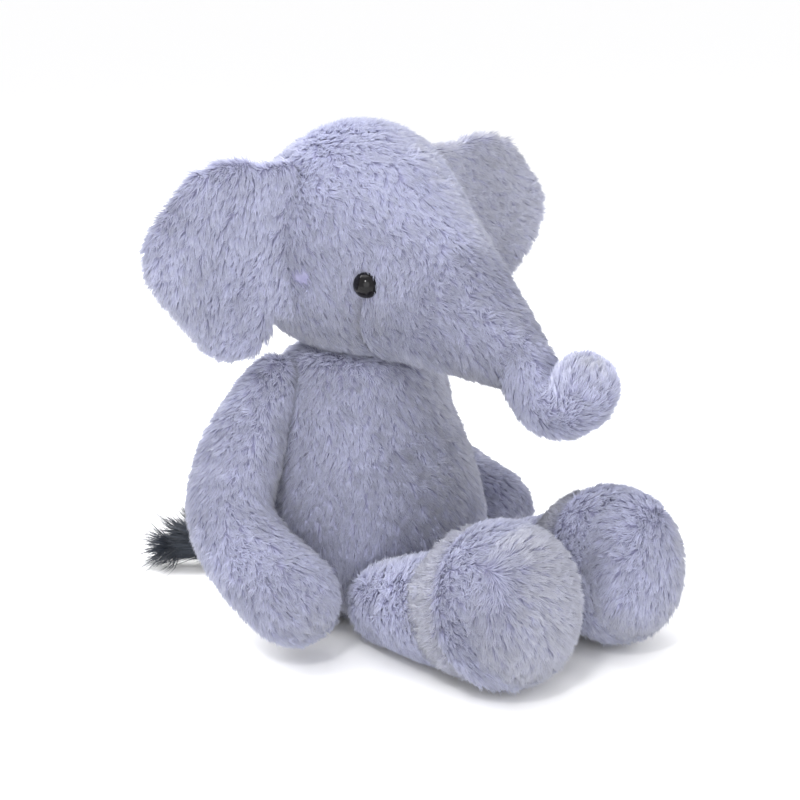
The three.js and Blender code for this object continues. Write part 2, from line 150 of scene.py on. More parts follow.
def cloth_form(name, axis_points, outline, across=(1, 1), around=40):
    """A closed form of rings that stand square to a line. The outline gives each ring's place and
    radius, and across its widths along its own two sides."""
    line, length = smooth_line(axis_points)
    tangents = np.gradient(line, axis=0)
    tangents /= np.linalg.norm(tangents, axis=1)[:, None]
    sides = [np.array([1.0, 0.0, 0.0])]
    for t in tangents:
        side = sides[-1] - t * (sides[-1] @ t)
        sides.append(side / np.linalg.norm(side))
    sides = np.array(sides[1:])
    turn = np.linspace(0, 2 * math.pi, around, endpoint=False)
    points = []
    for s, radius in outline:
        within = min(max(s, 0), length[-1])
        i = min(int(np.searchsorted(length, within)), len(line) - 1)
        centre = np.array([np.interp(within, length, line[:, k]) for k in range(3)])
        centre = centre + tangents[i] * (s - within)
        other = np.cross(tangents[i], sides[i])
        for angle in turn:
            points.append(centre + radius * (math.cos(angle) * across[0] * sides[i]
                                             + math.sin(angle) * across[1] * other))
    rings = len(outline)
    faces = []
    for r in range(rings - 1):
        for k in range(around):
            nxt = (k + 1) % around
            faces.append((r * around + k, r * around + nxt, (r + 1) * around + nxt, (r + 1) * around + k))
    points.append(np.mean(points[:around], axis=0))
    points.append(np.mean(points[(rings - 1) * around:rings * around], axis=0))
    for k in range(around):
        nxt = (k + 1) % around
        faces.append((rings * around, nxt, k))
        faces.append((rings * around + 1, (rings - 1) * around + k, (rings - 1) * around + nxt))
    mesh = bpy.data.meshes.new(name)
    mesh.from_pydata([tuple(p) for p in points], [], faces)
    form = bpy.data.objects.new(name, mesh)
    bpy.context.scene.collection.objects.link(form)
    work = bmesh.new()
    work.from_mesh(mesh)
    bmesh.ops.recalc_face_normals(work, faces=work.faces)
    if work.calc_volume(signed=True) < 0:
        bmesh.ops.reverse_faces(work, faces=work.faces)
    work.to_mesh(mesh)
    work.free()
    return form


def apply_modifiers(piece):
    """Replaces the piece's mesh with what its modifiers make of it."""
    graph = bpy.context.evaluated_depsgraph_get()
    made = bpy.data.meshes.new_from_object(piece.evaluated_get(graph))
    piece.modifiers.clear()
    piece.data = made
    made.name = piece.name


def vertex_places(piece):
    places = np.empty(len(piece.data.vertices) * 3)
    piece.data.vertices.foreach_get("co", places)
    return places.reshape(-1, 3)


def set_places(piece, places):
    piece.data.vertices.foreach_set("co", np.asarray(places, float).ravel())
    piece.data.update()


def stuff(form, cell=5 * mm, give=2.2 * mm, swell=4.0):
    """Fills a sewn form: an even net of cloth is blown out by pressure, and no point may move further
    than give."""
    remesh = form.modifiers.new("even_net", "REMESH")
    remesh.mode = "VOXEL"
    remesh.voxel_size = cell
    apply_modifiers(form)
    rest = vertex_places(form)
    cloth = form.modifiers.new("filled_cloth", "CLOTH")
    cloth.settings.quality = 4
    cloth.settings.use_pressure = True
    cloth.settings.uniform_pressure_force = swell
    cloth.settings.effector_weights.gravity = 0
    cloth.settings.bending_stiffness = 0.6
    scene = bpy.context.scene
    for step in range(1, 21):
        scene.frame_set(step)
    apply_modifiers(form)
    scene.frame_set(1)
    move = vertex_places(form) - rest
    far = np.linalg.norm(move, axis=1)
    move *= np.minimum(1, give / np.maximum(far, 1e-9))[:, None]
    set_places(form, rest + move)
    fine = form.modifiers.new("fine_net", "SUBSURF")
    fine.levels = fine.render_levels = 1
    apply_modifiers(form)
    form.data.polygons.foreach_set("use_smooth", [True] * len(form.data.polygons))
    return form


def note(piece, name, values):
    """Keeps one number, or one direction, for every point of the piece."""
    values = np.asarray(values, np.float32)
    kind = "FLOAT_VECTOR" if values.ndim == 2 else "FLOAT"
    kept = piece.data.attributes.get(name) or piece.data.attributes.new(name, kind, "POINT")
    kept.data.foreach_set("vector" if values.ndim == 2 else "value", values.ravel())


def smoothed(value, low, high):
    t = np.clip((value - low) / (high - low), 0, 1)
    return t * t * (3 - 2 * t)


def cover(form, moves, lay, seam=None, bare=None, painted_light=None, length=7.6 * mm, tone_and_painted_light=0.5, layers=1):
    """Readies a filled form for its pile. moves is the body that it rides, or two bodies and the
    two points between which it bends. lay gives the direction in which the pile lies. The function
    given after bare paints light and shade into the pile's colour: above 0 it lightens it, and below 0
    it darkens it. The colour value given for the neck, trunk and feet is set lower, as painted shade."""
    places = vertex_places(form)
    seams = seam(places) if seam else np.zeros(len(places))
    normals = np.empty(len(places) * 3)
    form.data.vertices.foreach_get("normal", normals)
    set_places(form, places - normals.reshape(-1, 3) * seams[:, None] * seam_depth)
    note(form, "lay", lay(places))
    note(form, "seam", seams)
    note(form, "bare", bare(places) if bare else np.zeros(len(places)))
    note(form, "painted_light", painted_light(places) if painted_light else np.zeros(len(places)))
    all_covers.append({"form": form, "moves": moves, "length": length, "tone_and_painted_light": tone_and_painted_light, "layers": layers})


def follow(piece, moves):
    if isinstance(moves, str):
        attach(piece, moves)
    else:
        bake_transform(piece, moves[0], moves[1], start=moves[2], end=moves[3])


def backing_cloth():
    """The knitted backing of the plush: darker than the pile, because light hardly reaches it."""
    material = bpy.data.materials.new("plush_backing")
    material.use_nodes = True
    nodes, links = material.node_tree.nodes, material.node_tree.links
    shader = nodes["Principled BSDF"]
    shader.inputs["Roughness"].default_value = 0.95
    place = nodes.new("ShaderNodeTexCoord")
    knit = nodes.new("ShaderNodeTexNoise")
    knit.inputs["Scale"].default_value = 260
    knit.inputs["Detail"].default_value = 3
    links.new(place.outputs["Object"], knit.inputs["Vector"])
    shades = nodes.new("ShaderNodeValToRGB")
    shades.color_ramp.elements[0].position = 0.35
    shades.color_ramp.elements[0].color = (0.22, 0.215, 0.345, 1)
    shades.color_ramp.elements[1].position = 0.68
    shades.color_ramp.elements[1].color = (0.33, 0.325, 0.48, 1)
    links.new(knit.outputs["Fac"], shades.inputs["Fac"])
    links.new(shades.outputs["Color"], shader.inputs["Base Color"])
    rough = nodes.new("ShaderNodeBump")
    rough.inputs["Strength"].default_value = 0.6
    rough.inputs["Distance"].default_value = 0.8 * mm
    links.new(knit.outputs["Fac"], rough.inputs["Height"])
    links.new(rough.outputs["Normal"], shader.inputs["Normal"])
    return material


backing = backing_cloth()

torso_height = 147.5 * mm
torso_radius = 76 * mm
neck_radius = 32 * mm
neck_y = 5 * mm
torso_depth_ratio = 0.94
torso_cloth_floor = 2.6 * mm     # the seat's backing lies this high, with the pressed pile under it
torso_outline = [
    (0.0, 44 * mm), (4 * mm, 58 * mm), (0.1 * torso_height, 0.92 * torso_radius),
    (0.28 * torso_height, 1.03 * torso_radius), (0.55 * torso_height, 0.95 * torso_radius),
    (0.8 * torso_height, 0.77 * torso_radius), (torso_height - 8 * mm, neck_radius + 19 * mm),
    (torso_height + 5 * mm, neck_radius + 13 * mm), (torso_height + 12 * mm, neck_radius - 3 * mm),
]
torso = cloth_form("torso_plush", [(0, 0, 0), (0, 0, torso_height)],
                   inset_outline(torso_outline, pile_height), across=(1, torso_depth_ratio), around=52)
torso_points = vertex_places(torso)
torso_points[:, 1] += neck_y * smoothed(torso_points[:, 2], 0, torso_height)
torso_points[:, 2] = np.maximum(torso_points[:, 2], torso_cloth_floor)
set_places(torso, torso_points)
stuff(torso)
torso.data.materials.append(backing)


def torso_lay(places):
    """The pile is brushed down the body, and a little outward from the middle."""
    down = np.tile([0.0, 0.0, -1.0], (len(places), 1))
    down[:, 0] += places[:, 0] * 4
    down[:, 1] += -0.25
    return down


# The lower torso's pile is painted lighter and the upper torso's darker: painted light low between the arms
# and legs, and painted shade under the head.
cover(torso, "torso", torso_lay, layers=3, tone_and_painted_light=0.6,
      bare=lambda p: 1 - smoothed(p[:, 2], 3 * mm, 9 * mm),
      painted_light=lambda p: 0.4 - 0.65 * smoothed(p[:, 2], 20 * mm, 120 * mm))
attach(torso, "torso")
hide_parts("torso_cover", "torso_filling")

# ---- pellet pouch ----
# A calico bag of plastic pellets that lies in the bottom of the torso. It gives the toy its weight and
# lets it sit, and its mouth is sewn shut.

calico = bpy.data.materials.new("calico")
calico.use_nodes = True
calico_shader = calico.node_tree.nodes["Principled BSDF"]
calico_shader.inputs["Roughness"].default_value = 0.9
calico_weave = calico.node_tree.nodes.new("ShaderNodeTexNoise")
calico_weave.inputs["Scale"].default_value = 400
calico_place = calico.node_tree.nodes.new("ShaderNodeTexCoord")
calico.node_tree.links.new(calico_place.outputs["Object"], calico_weave.inputs["Vector"])
calico_shades = calico.node_tree.nodes.new("ShaderNodeValToRGB")
calico_shades.color_ramp.elements[0].color = (0.55, 0.51, 0.43, 1)
calico_shades.color_ramp.elements[1].color = (0.74, 0.71, 0.62, 1)
calico.node_tree.links.new(calico_weave.outputs["Fac"], calico_shades.inputs["Fac"])
calico.node_tree.links.new(calico_shades.outputs["Color"], calico_shader.inputs["Base Color"])
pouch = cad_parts["pellet_pouch"]
pouch.data.materials.clear()
pouch.data.materials.append(calico)

# ---- neck ----
# The gathered neck of the body, stuffed hard and closed by a ring of strong thread. The head sits on
# it, and the pile of both hides it.

neck = cloth_form("neck_plush", [(0, neck_y, 128 * mm), (0, neck_y, 166 * mm)],
                  [(0, 0.1 * mm), (0, 22 * mm), (12 * mm, 24 * mm), (26 * mm, 24 * mm), (38 * mm, 20 * mm),
                   (38 * mm, 0.1 * mm)], around=36)
stuff(neck, give=1 * mm)
neck.data.materials.append(backing)
# The neck's pile is given a dark colour value: painted shade in the crease under the head.
cover(neck, "neck", lambda p: np.tile([0.0, 0.0, -1.0], (len(p), 1)), length=6 * mm, tone_and_painted_light=0.2)
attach(neck, "neck")
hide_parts("neck_filling")

thread = bpy.data.materials.new("sewing_thread")
thread.use_nodes = True
thread_shader = thread.node_tree.nodes["Principled BSDF"]
thread_shader.inputs["Roughness"].default_value = 0.7
thread_twist = thread.node_tree.nodes.new("ShaderNodeTexWave")
thread_twist.inputs["Scale"].default_value = 300
thread_place = thread.node_tree.nodes.new("ShaderNodeTexCoord")
thread.node_tree.links.new(thread_place.outputs["Object"], thread_twist.inputs["Vector"])
thread_shades = thread.node_tree.nodes.new("ShaderNodeValToRGB")
thread_shades.color_ramp.elements[0].color = (0.22, 0.22, 0.34, 1)
thread_shades.color_ramp.elements[1].color = (0.36, 0.36, 0.5, 1)
thread.node_tree.links.new(thread_twist.outputs["Fac"], thread_shades.inputs["Fac"])
thread.node_tree.links.new(thread_shades.outputs["Color"], thread_shader.inputs["Base Color"])
neck_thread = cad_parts["neck_stitching"]
neck_thread.data.materials.clear()
neck_thread.data.materials.append(thread)

# ---- head ----
# A round skull that runs forward and down into a cone: two side panels, a forehead panel between
# them and a panel under the chin, filled with fibre until it is firm.

skull_radius = 66 * mm
skull_centre = np.array([0, 5, 221]) * mm
head_tilt = math.radians(23)
head_axis = np.array([0, -math.cos(head_tilt), -math.sin(head_tilt)])
head_top = np.array([0, -math.sin(head_tilt), math.cos(head_tilt)])
trunk_root = 82 * mm
trunk_length = 61 * mm
trunk_end_radius = 18 * mm
cone_turn = math.asin((skull_radius - trunk_end_radius) / (trunk_root + trunk_length))
cone_start = (skull_radius * math.sin(cone_turn), skull_radius * math.cos(cone_turn))


def cone_radius(along):
    return cone_start[1] - math.tan(cone_turn) * (along - cone_start[0])


def head_place(along):
    return skull_centre + head_axis * along


head_outline = [(skull_radius * math.cos(math.radians(d)), skull_radius * math.sin(math.radians(d)))
                for d in (180, 165, 145, 125, 105, 90)]
head_outline[0] = (-skull_radius, 0)
head_outline += [cone_start, (50 * mm, cone_radius(50 * mm)), (76 * mm, cone_radius(76 * mm)),
                 (86 * mm, cone_radius(86 * mm)), (91 * mm, 20 * mm), (92 * mm, 0)]
head = cloth_form("head_plush", [tuple(head_place(0)), tuple(head_place(100 * mm))],
                  inset_outline(head_outline, pile_height, 50), around=52)


def head_parts(places):
    """Each place as [along the head's axis, sideways, up from the axis]."""
    from_centre = places - skull_centre
    return from_centre @ head_axis, from_centre[:, 0], from_centre @ head_top


cheek_drop = 5 * mm
cheek_width = 4 * mm
crown_rise = 4 * mm
head_points = vertex_places(head)
along, sideways, up = head_parts(head_points)
cheek = (smoothed(along, -58 * mm, -8 * mm) * (1 - smoothed(along, 30 * mm, 74 * mm))
         * smoothed(-up, -8 * mm, 40 * mm))
head_points += np.outer(cheek * cheek_drop, -head_top)
head_points[:, 0] += np.sign(sideways) * cheek * smoothed(np.abs(sideways), 12 * mm, 40 * mm) * cheek_width
crown = smoothed(up, 30 * mm, 66 * mm)
head_points += np.outer(crown * crown_rise, head_top)
set_places(head, head_points)
stuff(head)
head.data.materials.append(backing)

eye_along = 58 * mm
eye_around = math.radians(83)


def eye_pose(side):
    """Where the eye's rim plane meets the pile's outline, and the way that the eye looks."""
    out = math.cos(eye_around) * head_top + math.sin(eye_around) * np.array([side, 0.0, 0.0])
    looks = math.cos(cone_turn) * out + math.sin(cone_turn) * head_axis
    return head_place(eye_along) + out * cone_radius(eye_along), looks


def head_bare(places):
    """No pile under the eyes."""
    under = np.zeros(len(places))
    for side in (-1, 1):
        middle, looks = eye_pose(side)
        away = places - middle
        away = away - np.outer(away @ looks, looks)
        under = np.maximum(under, 1 - smoothed(np.linalg.norm(away, axis=1), 5.2 * mm, 6.8 * mm))
    return under


def head_seam(places):
    """The seams that show: across the brow, from each eye down to the chin, and along the top of the
    forehead panel."""
    s, x, z = head_parts(places)
    high = smoothed(z, 0, 20 * mm)
    brow = np.exp(-((s - 34 * mm - 10 * (x * x)) / (2.2 * mm)) ** 2) * high * 0.35
    under_eye = np.exp(-((s - 56 * mm) / (2.0 * mm)) ** 2) * (1 - smoothed(z, -2 * mm, 6 * mm)) * 0.85
    beside = np.exp(-((np.abs(x) - 0.5 * cone_start[1] + 0.24 * s) / (2.0 * mm)) ** 2)
    beside *= high * smoothed(s, 30 * mm, 36 * mm) * 0.3
    return np.clip(np.maximum(np.maximum(brow, under_eye), beside), 0, 1)


def head_lay(places):
    """The pile lies back from the trunk over the skull's sides and down over the cheeks."""
    s, x, z = head_parts(places)
    flow = np.outer(0.85 + 0 * s, head_axis) + np.array([0, 0.0, -0.45])
    flow[:, 0] += np.sign(x) * 0.25
    return flow


def head_painted_light(places):
    """Painted light and shade: the pile on the crown is painted lighter and on the cheeks darker."""
    s, x, z = head_parts(places)
    return 0.55 * smoothed(z, 20 * mm, 55 * mm) - 0.25 * (1 - smoothed(z, -30 * mm, 20 * mm))


# The head's pile is given a lower colour value and is painted lighter on the crown and darker on the cheeks:
# painted light and painted shade.
cover(head, "head", head_lay, seam=head_seam, bare=head_bare, painted_light=head_painted_light, tone_and_painted_light=0.4, layers=2)
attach(head, "head")
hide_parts("head_cover", "head_filling")

# ---- eyes ----
# Polished black safety eyes. Each is a dome moulded with a stem that passes through the cover and is
# held by a lock washer pressed onto it from inside.

eye_gloss = bpy.data.materials.new("eye_gloss")
eye_gloss.use_nodes = True
eye_nodes, eye_links = eye_gloss.node_tree.nodes, eye_gloss.node_tree.links
eye_shader = eye_nodes["Principled BSDF"]
eye_shader.inputs["Specular IOR Level"].default_value = 0.2
eye_place = eye_nodes.new("ShaderNodeTexCoord")
eye_depth = eye_nodes.new("ShaderNodeTexNoise")
eye_depth.inputs["Scale"].default_value = 90
eye_links.new(eye_place.outputs["Object"], eye_depth.inputs["Vector"])
eye_shades = eye_nodes.new("ShaderNodeValToRGB")
eye_shades.color_ramp.elements[0].color = (0.003, 0.003, 0.004, 1)
eye_shades.color_ramp.elements[1].color = (0.009, 0.008, 0.009, 1)
eye_links.new(eye_depth.outputs["Fac"], eye_shades.inputs["Fac"])
eye_links.new(eye_shades.outputs["Color"], eye_shader.inputs["Base Color"])
eye_rough = eye_nodes.new("ShaderNodeMapRange")
eye_rough.inputs["To Min"].default_value = 0.03
eye_rough.inputs["To Max"].default_value = 0.07
eye_links.new(eye_depth.outputs["Fac"], eye_rough.inputs["Value"])
eye_links.new(eye_rough.outputs["Result"], eye_shader.inputs["Roughness"])

dome_radius = 7.5                # millimetres, as are the dome's other places
dome_rise = 7.0
for side, side_name in ((-1, "right"), (1, "left")):
    middle, looks = eye_pose(side)
    dome = [(-11.0, 0.02), (-11.0, 2.0), (-5.2, 2.0), (-5.0, 6.9), (-4.4, dome_radius)]
    dome += [(-4.0 + dome_rise * math.sin(math.radians(d)), dome_radius * math.cos(math.radians(d)))
             for d in (8, 20, 32, 44, 56, 68, 79, 87)]
    dome.append((3.0, 0.02))
    eye = cloth_form(f"eye_dome_{side_name}", [tuple(middle), tuple(middle + looks * 0.02)],
                     [(a * mm, r * mm) for a, r in dome], around=40)
    eye.data.polygons.foreach_set("use_smooth", [True] * len(eye.data.polygons))
    eye.data.materials.append(eye_gloss)
    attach(eye, "head")
    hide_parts(f"eye_{side_name}")
    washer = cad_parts[f"eye_washer_{side_name}"]
    washer.data.materials.clear()
    washer.data.materials.append(eye_gloss)

# ---- trunk ----
# Three panels of plush sewn into a cone, from the seam in front of the eyes to the last bend. It is
# stuffed firmly, so that it stands out from the face.

trunk_outline = [(-20 * mm, 0), (-18 * mm, 20 * mm), (-6 * mm, cone_radius(trunk_root) - 1.5 * mm),
                 (6 * mm, cone_radius(trunk_root + 6 * mm))]
trunk_outline += [(s * mm, cone_radius(trunk_root + s * mm)) for s in (20, 38, 52)]
trunk_outline += [(62 * mm, trunk_end_radius), (70 * mm, 11 * mm), (72 * mm, 0)]
trunk_start = head_place(trunk_root)
trunk = cloth_form("trunk_plush", [tuple(trunk_start), tuple(head_place(trunk_root + 100 * mm))],
                   inset_outline(trunk_outline, pile_height), around=40)
stuff(trunk, cell=4 * mm)
trunk.data.materials.append(backing)


def trunk_lay(places):
    return np.tile(head_axis * 0.9 + np.array([0, 0, -0.35]), (len(places), 1))


def trunk_seam(places):
    s, x, z = head_parts(places)
    beside = np.exp(-((np.abs(x) - 0.5 * cone_start[1] + 0.24 * s) / (2.0 * mm)) ** 2)
    return beside * smoothed(z, 0, 12 * mm) * 0.5


trunk_moves = ("head", "trunk", tuple(head_place(trunk_root - 6 * mm)),
               tuple(head_place(trunk_root + 10 * mm)))
# The trunk's pile is given a darker colour value: painted shade on the trunk, which faces down.
cover(trunk, trunk_moves, trunk_lay, seam=trunk_seam, tone_and_painted_light=0.28)
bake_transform(trunk, *trunk_moves[:2], start=trunk_moves[2], end=trunk_moves[3])
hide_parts("trunk_cover", "trunk_filling")

# ---- trunk tip ----
# The last bend of the trunk: a short tube whose end is turned up and rounded, the back of it longer
# than the front, so that it curls when it is filled.

tip_droop = 11 * mm
tip_reach = 42 * mm
tip_line = [(0, 0), (0.25, 0.6), (0.54, 1), (0.8, 0.6), (0.96, -0.3), (1, -1.4)]
tip_start = head_place(trunk_root + trunk_length)
tip_axis = [tuple(tip_start + head_axis * (a * tip_reach) - head_top * (b * tip_droop))
            for a, b in tip_line]
tip_outline = [(-17.5 * mm, 0), (-15 * mm, 10 * mm), (-8 * mm, 15.5 * mm), (0, 17.5 * mm),
               (22.8 * mm, 19 * mm), (45.6 * mm, 20 * mm), (60.8 * mm, 19.7 * mm),
               (71.4 * mm, 14 * mm), (76 * mm, 0)]
trunk_tip = cloth_form("trunk_tip_plush", tip_axis, inset_outline(tip_outline, pile_height), around=36)
stuff(trunk_tip, cell=4 * mm, give=1.5 * mm)
trunk_tip.data.materials.append(backing)


def tip_lay(places):
    """Along the trunk, round the bend and up to the end."""
    line, _ = smooth_line(tip_axis, 60)
    tangents = np.gradient(line, axis=0)
    near = np.argmin(np.linalg.norm(places[:, None] - line[None], axis=2), axis=1)
    return tangents[near] / np.linalg.norm(tangents[near], axis=1)[:, None]


tip_moves = ("trunk", "trunk_tip", tuple(head_place(trunk_root + trunk_length - 8 * mm)),
             tuple(head_place(trunk_root + trunk_length + 8 * mm)))
cover(trunk_tip, tip_moves, tip_lay, tone_and_painted_light=0.6)
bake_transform(trunk_tip, *tip_moves[:2], start=tip_moves[2], end=tip_moves[3])
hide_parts("trunk_tip_cover", "trunk_tip_filling")

# ---- ears ----
# Each ear is two panels of plush sewn round the rim with almost nothing between them, and closed
# into the seam that runs down the side of the skull.

ear_width = 106 * mm
ear_height = 120 * mm
ear_seam_x = 51 * mm
ear_thickness = 4.6 * mm
ear_rim_inset = 2.4 * mm
ear_wave = 2.2 * mm
ear_root = np.array([0, 2, 230]) * mm
ear_edge = [(0.2, 0.34), (0.45, 0.38), (0.71, 0.33), (0.89, 0.18), (1.04, 0.0), (0.98, -0.18),
            (0.83, -0.34), (0.62, -0.51), (0.43, -0.6), (0.26, -0.55), (0.13, -0.4)]


def ear_form(name, side):
    rim, length = smooth_line([(ear_seam_x + x * ear_width, z * ear_height, 0) for x, z in ear_edge])
    even = np.linspace(0, length[-1], 90)
    rim = np.array([[np.interp(s, length, rim[:, k]) for k in (0, 1)] for s in even])
    root = [(ear_seam_x - 6 * mm + 6 * mm * t, (-0.4 + 0.74 * t) * ear_height)
            for t in (0.0, 0.3, 0.6, 1.0)]
    loop = np.vstack([rim, root])
    inward = np.mean(loop, axis=0) - loop
    inward /= np.linalg.norm(inward, axis=1)[:, None]
    loop[:len(rim)] += inward[:len(rim)] * ear_rim_inset
    mesh = bpy.data.meshes.new(name)
    work = bmesh.new()
    for x, z in loop:
        work.verts.new((side * x, ear_root[1] - ear_thickness / 2, ear_root[2] + z))
    panel = work.faces.new(work.verts)
    grown = bmesh.ops.extrude_face_region(work, geom=[panel])
    shifted = [v for v in grown["geom"] if isinstance(v, bmesh.types.BMVert)]
    bmesh.ops.translate(work, vec=(0, ear_thickness, 0), verts=shifted)
    bmesh.ops.recalc_face_normals(work, faces=work.faces)
    work.to_mesh(mesh)
    work.free()
    form = bpy.data.objects.new(name, mesh)
    bpy.context.scene.collection.objects.link(form)
    return form


for side, side_name in ((-1, "right"), (1, "left")):
    ear = ear_form(f"ear_plush_{side_name}", side)
    stuff(ear, cell=4 * mm, give=1.2 * mm, swell=2.0)
    ear_points = vertex_places(ear)
    ear_out = np.abs(ear_points[:, 0]) - ear_seam_x
    wave = ear_wave * np.sin(ear_out * 52 + ear_points[:, 2] * 30) * smoothed(ear_out, 10 * mm, 50 * mm)
    ear_points[:, 1] += wave
    set_places(ear, ear_points)
    ear.data.materials.append(backing)

    def ear_lay(places, side=side):
        """From the seam outward, and down."""
        flow = np.zeros_like(places)
        flow[:, 0] = side * 0.7
        flow[:, 2] = -0.6 + 9.0 * (places[:, 2] - ear_root[2]) * smoothed(
            np.abs(places[:, 0]), 100 * mm, 150 * mm)
        return flow

    ear_moves = ("head", f"ear_{side_name}", (side * 60 * mm, 2 * mm, 230 * mm),
                 (side * 74 * mm, 2 * mm, 230 * mm))
    cover(ear, ear_moves, ear_lay, tone_and_painted_light=0.5)
    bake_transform(ear, *ear_moves[:2], start=ear_moves[2], end=ear_moves[3])
    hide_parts(f"ear_front_{side_name}", f"ear_back_{side_name}")

# ---- arms ----
# One long tube of plush each, cut with a bend at the elbow and a fuller paw, and sewn closed into
# the shoulder seam. They are filled loosely, so that they hang.

shoulder = np.array([63, 18, 136]) * mm
arm_length = 178 * mm
arm_lines = {
    "right": [(-6, 0, 4), (10, -3, -14), (28, -8, -38), (40, -15, -60), (44, -32, -78), (43, -68, -98),
              (41, -98, -108)],
    "left": [(-6, 0, 4), (12, 14, -24), (25, 25, -58), (38, 16, -84), (49, -16, -104), (46, -62, -111)],
}
arm_outline = [(-21.5 * mm, 0), (-17 * mm, 9 * mm), (-9 * mm, 14.5 * mm), (4 * mm, 18 * mm),
               (0.13 * arm_length, 21.5 * mm), (0.27 * arm_length, 25.5 * mm),
               (0.5 * arm_length, 26 * mm), (0.75 * arm_length, 27.5 * mm),
               (0.88 * arm_length, 26.5 * mm), (0.97 * arm_length, 16.5 * mm), (arm_length + 0.5 * mm, 0)]
for side, side_name in ((-1, "right"), (1, "left")):
    root = shoulder * (side, 1, 1)
    arm_axis = [tuple(root + np.array([side * out, back, rise]) * mm)
                for out, back, rise in arm_lines[side_name]]
    arm = cloth_form(f"arm_plush_{side_name}", arm_axis, inset_outline(arm_outline, pile_height), around=36)
    stuff(arm, give=1.8 * mm)
    arm.data.materials.append(backing)
    arm_middle, _ = smooth_line(arm_axis, 80)
    arm_run = np.gradient(arm_middle, axis=0)

    def arm_lay(places, middle=arm_middle, run=arm_run):
        """Down the arm, from the shoulder to the paw."""
        near = np.argmin(np.linalg.norm(places[:, None] - middle[None], axis=2), axis=1)
        flow = run[near] / np.linalg.norm(run[near], axis=1)[:, None]
        return flow + np.array([0, 0, -0.3])

    arm_way = (arm_middle[12] - root) / np.linalg.norm(arm_middle[12] - root)
    arm_moves = ("torso", f"arm_{side_name}", tuple(root - arm_way * 12 * mm),
                 tuple(root + arm_way * 8 * mm))
    cover(arm, arm_moves, arm_lay, tone_and_painted_light=0.48)
    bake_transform(arm, *arm_moves[:2], start=arm_moves[2], end=arm_moves[3])
    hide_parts(f"arm_cover_{side_name}", f"arm_filling_{side_name}")

# ---- legs ----
# Each leg is a tube of plush that widens from the hip seam to the ankle seam. It is filled loosely and
# lies on the ground in front of the body.

hip = np.array([48, -67, 23]) * mm
leg_length = 65 * mm
ankle_height = 36.5 * mm
leg_splay = {-1: math.radians(3), 1: math.radians(-5)}
leg_rise = math.asin((ankle_height - hip[2]) / leg_length)


def leg_frame(side):
    """The way the leg points, and its upward side."""
    level = np.array([math.sin(leg_splay[side]) * side, -math.cos(leg_splay[side]), 0])
    way = level * math.cos(leg_rise) + np.array([0, 0, math.sin(leg_rise)])
    upward = np.array([0, 0, math.cos(leg_rise)]) - level * math.sin(leg_rise)
    return way, upward


limb_cloth_floor = 4 * mm        # the backing of legs and feet lies this high, on its pressed pile
leg_outline = [(-21 * mm, 0), (-18 * mm, 12 * mm), (-10 * mm, 21 * mm), (0, 24.5 * mm),
               (21 * mm, 28.5 * mm), (40 * mm, 32 * mm), (53 * mm, 33.5 * mm), (65 * mm, 33 * mm),
               (75 * mm, 20 * mm), (78 * mm, 0)]
for side, side_name in ((-1, "right"), (1, "left")):
    leg_root = hip * (side, 1, 1)
    way, _ = leg_frame(side)
    leg = cloth_form(f"leg_plush_{side_name}", [tuple(leg_root), tuple(leg_root + way * 80 * mm)],
                     inset_outline(leg_outline, pile_height), around=36)
    leg_points = vertex_places(leg)
    leg_points[:, 2] = np.maximum(leg_points[:, 2], limb_cloth_floor)
    set_places(leg, leg_points)
    stuff(leg, give=1.5 * mm)
    leg.data.materials.append(backing)
    leg_moves = ("torso", f"leg_{side_name}", tuple(leg_root - way * 10 * mm),
                 tuple(leg_root + way * 8 * mm))
    cover(leg, leg_moves, lambda p, way=way: np.tile(way + np.array([0, 0, -0.35]), (len(p), 1)), tone_and_painted_light=0.5)
    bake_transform(leg, *leg_moves[:2], start=leg_moves[2], end=leg_moves[3])
    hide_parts(f"leg_cover_{side_name}", f"leg_filling_{side_name}")

# ---- feet ----
# A boot of plush with a round sole panel sewn in, filled full, so that the foot stands upright on
# its heel.

